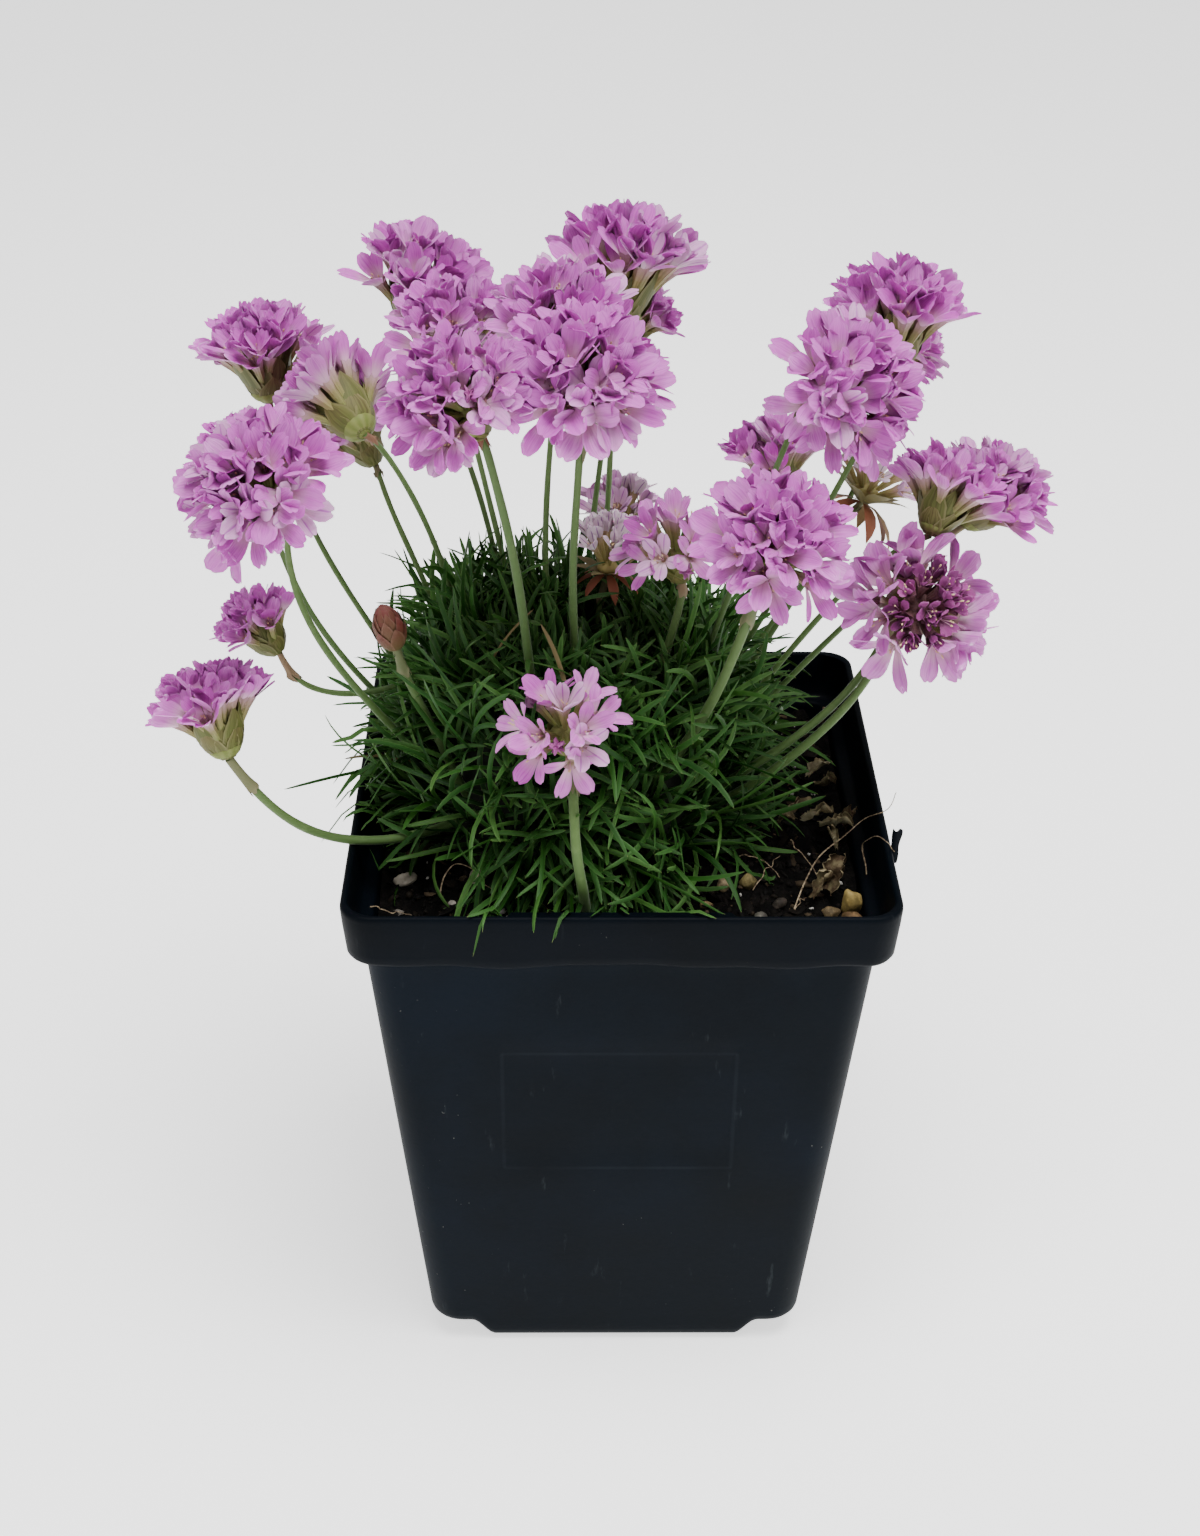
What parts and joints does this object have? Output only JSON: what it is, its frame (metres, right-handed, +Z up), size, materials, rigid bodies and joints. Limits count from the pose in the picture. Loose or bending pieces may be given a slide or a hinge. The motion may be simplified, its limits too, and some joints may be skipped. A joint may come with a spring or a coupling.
{
  "type": "potted sea thrift",
  "caption": "Cushion of narrow evergreen leaves with round lilac-pink flower heads on bare stalks, growing in a square black nursery pot.",
  "frame": {"origin": "centre of the pot's underside, in the plane that it stands on", "axes": "+Z up out of the pot, +X to the right and -Y towards the viewer of the pot's front side"},
  "size_m": [0.1418, 0.0891, 0.1944],
  "materials": {
    "pot": "thin blow-moulded black plastic with a soft sheen",
    "potting_mix": "moist dark peat with bark bits, grit and white specks",
    "crown": "dark woody stem bases wrapped in old leaf sheaths",
    "leaves": "narrow fleshy evergreen leaves, dark green with a pale bluish sheen",
    "scape": "smooth green flower stalks with a papery brown sheath under the head",
    "bloom": "thin lilac-pink petals over papery calyces",
    "faded_bloom": "dried pale florets with tan calyces",
    "closed_bud": "overlapping red-brown bracts"
  },
  "bodies": {
    "root": {"bloom_behind_right": "bloom", "bloom_behind_top": "bloom", "bloom_behind_turned": "bloom", "bloom_closed_bud": "closed_bud", "bloom_dry": "faded_bloom", "bloom_faded": "faded_bloom", "bloom_far_left": "bloom", "bloom_far_right": "bloom", "bloom_front_left": "bloom", "bloom_front_middle": "bloom", "bloom_in_bud": "bloom", "bloom_left_behind": "bloom", "bloom_left_half": "bloom", "bloom_left_low": "bloom", "bloom_left_open": "bloom", "bloom_low_front": "bloom", "bloom_low_right": "bloom", "bloom_middle_few": "bloom", "bloom_right_behind": "bloom", "bloom_right_open": "bloom", "bloom_right_side": "bloom", "bloom_right_upper": "bloom", "bloom_spent": "faded_bloom", "bloom_top_left": "bloom", "bloom_top_middle": "bloom", "bloom_top_right": "bloom", "bloom_turned_away": "bloom", "bloom_upper_middle": "bloom", "crown": "crown", "leaf_cushion": "leaves", "pot": "pot", "potting_mix": "potting_mix", "scape_behind_right": "scape", "scape_behind_top": "scape", "scape_behind_turned": "scape", "scape_closed_bud": "scape", "scape_dry": "scape", "scape_faded": "scape", "scape_far_left": "scape", "scape_far_right": "scape", "scape_front_left": "scape", "scape_front_middle": "scape", "scape_in_bud": "scape", "scape_left_behind": "scape", "scape_left_half": "scape", "scape_left_low": "scape", "scape_left_open": "scape", "scape_low_front": "scape", "scape_low_right": "scape", "scape_middle_few": "scape", "scape_right_behind": "scape", "scape_right_open": "scape", "scape_right_side": "scape", "scape_right_upper": "scape", "scape_spent": "scape", "scape_top_left": "scape", "scape_top_middle": "scape", "scape_top_right": "scape", "scape_turned_away": "scape", "scape_upper_middle": "scape"}
  },
  "joints": []
}
